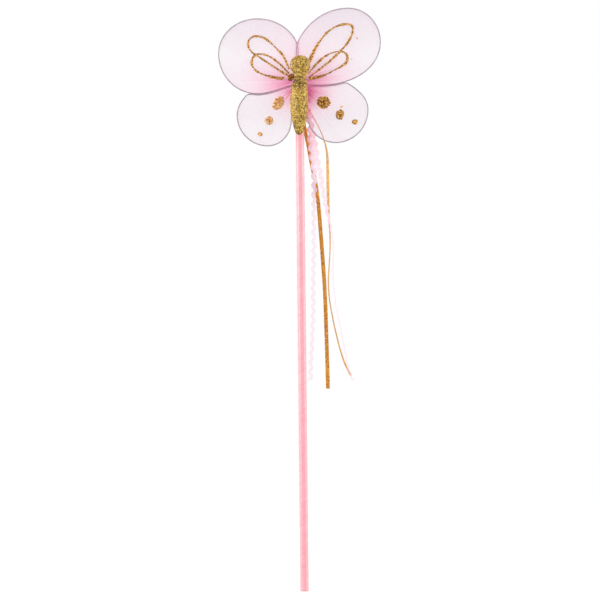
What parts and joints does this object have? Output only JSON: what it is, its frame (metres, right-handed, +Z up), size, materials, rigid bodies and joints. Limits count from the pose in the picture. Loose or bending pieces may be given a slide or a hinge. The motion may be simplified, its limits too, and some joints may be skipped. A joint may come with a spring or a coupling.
{
  "type": "butterfly wand",
  "caption": "Toy butterfly wand: satin-wound stick with sheer nylon wings on bendable wire loops, a padded glitter body and free-hanging gold and pink ribbon tails.",
  "frame": {"origin": "on the stick's axis at the middle of the hand grip, 50 mm above the foot of the stick", "axes": "+Z up along the stick, butterfly faces -Y, +X to the right as seen from the front"},
  "size_m": [0.1259, 0.0266, 0.4502],
  "materials": {
    "wood": "bare turned hardwood",
    "satin": "glossy pink satin ribbon",
    "glue": "milky hot-melt glue",
    "glitter_cloth": "cloth covered in gold glitter",
    "wadding": "white polyester wadding",
    "gold_thread": "dark gold thread",
    "pink_thread": "pink thread",
    "wire": "thin soft steel wire, pale mauve coat",
    "nylon": "sheer pale pink stretch nylon",
    "glitter_glue": "gold glitter in dried glue",
    "gold_ribbon": "metallic gold ribbon",
    "rickrack": "pale pink rickrack braid"
  },
  "bodies": {
    "stick": {"stick_core": "wood", "stick_wrap": "satin", "wing_binding": "satin", "glue_pad": "glue", "body_cover": "glitter_cloth", "body_filling": "wadding", "neck_thread": "gold_thread", "gold_knot": "gold_ribbon", "rickrack_knot": "rickrack"},
    "upper_left_wing": {"upper_left_wire": "wire", "upper_left_nylon": "nylon", "upper_left_glitter": "glitter_glue", "upper_left_tie": "pink_thread"},
    "upper_right_wing": {"upper_right_wire": "wire", "upper_right_nylon": "nylon", "upper_right_glitter": "glitter_glue", "upper_right_tie": "pink_thread"},
    "lower_left_wing": {"lower_left_wire": "wire", "lower_left_nylon": "nylon", "lower_left_dots": "glitter_glue", "lower_left_tie": "pink_thread"},
    "lower_right_wing": {"lower_right_wire": "wire", "lower_right_nylon": "nylon", "lower_right_dots": "glitter_glue", "lower_right_tie": "pink_thread"},
    "gold_left": {"gold_left_tail": "gold_ribbon"},
    "gold_right": {"gold_right_tail": "gold_ribbon"},
    "rickrack_left": {"rickrack_left_tail": "rickrack"},
    "rickrack_right": {"rickrack_right_tail": "rickrack"}
  },
  "joints": [
    {"name": "upper_left_bend", "type": "hinge", "parent": "stick", "child": "upper_left_wing", "pos_m": [-0.0023, -0.005, 0.34095], "axis": [0, 0, 1], "range_deg": [-15, 25]},
    {"name": "upper_right_bend", "type": "hinge", "parent": "stick", "child": "upper_right_wing", "pos_m": [-0.0005, -0.005, 0.34095], "axis": [0, 0, -1], "range_deg": [-15, 25]},
    {"name": "lower_left_bend", "type": "hinge", "parent": "stick", "child": "lower_left_wing", "pos_m": [-0.0043, -0.005, 0.34095], "axis": [0, 0, 1], "range_deg": [-5, 35]},
    {"name": "lower_right_bend", "type": "hinge", "parent": "stick", "child": "lower_right_wing", "pos_m": [0.0015, -0.005, 0.34095], "axis": [0, 0, -1], "range_deg": [-5, 35]},
    {"name": "gold_left_swing", "type": "hinge", "parent": "stick", "child": "gold_left", "pos_m": [0.0052, 0.0042, 0.32445], "axis": [0, -1, 0], "range_deg": [0, 30]},
    {"name": "gold_right_swing", "type": "hinge", "parent": "stick", "child": "gold_right", "pos_m": [0.0052, 0.0068, 0.32445], "axis": [0, -1, 0], "range_deg": [0, 30]},
    {"name": "rickrack_left_swing", "type": "hinge", "parent": "stick", "child": "rickrack_left", "pos_m": [0.0053, 0.0018, 0.32045], "axis": [0, -1, 0], "range_deg": [0, 30]},
    {"name": "rickrack_right_swing", "type": "hinge", "parent": "stick", "child": "rickrack_right", "pos_m": [0.0053, -0.001, 0.32045], "axis": [0, -1, 0], "range_deg": [0, 30]}
  ]
}
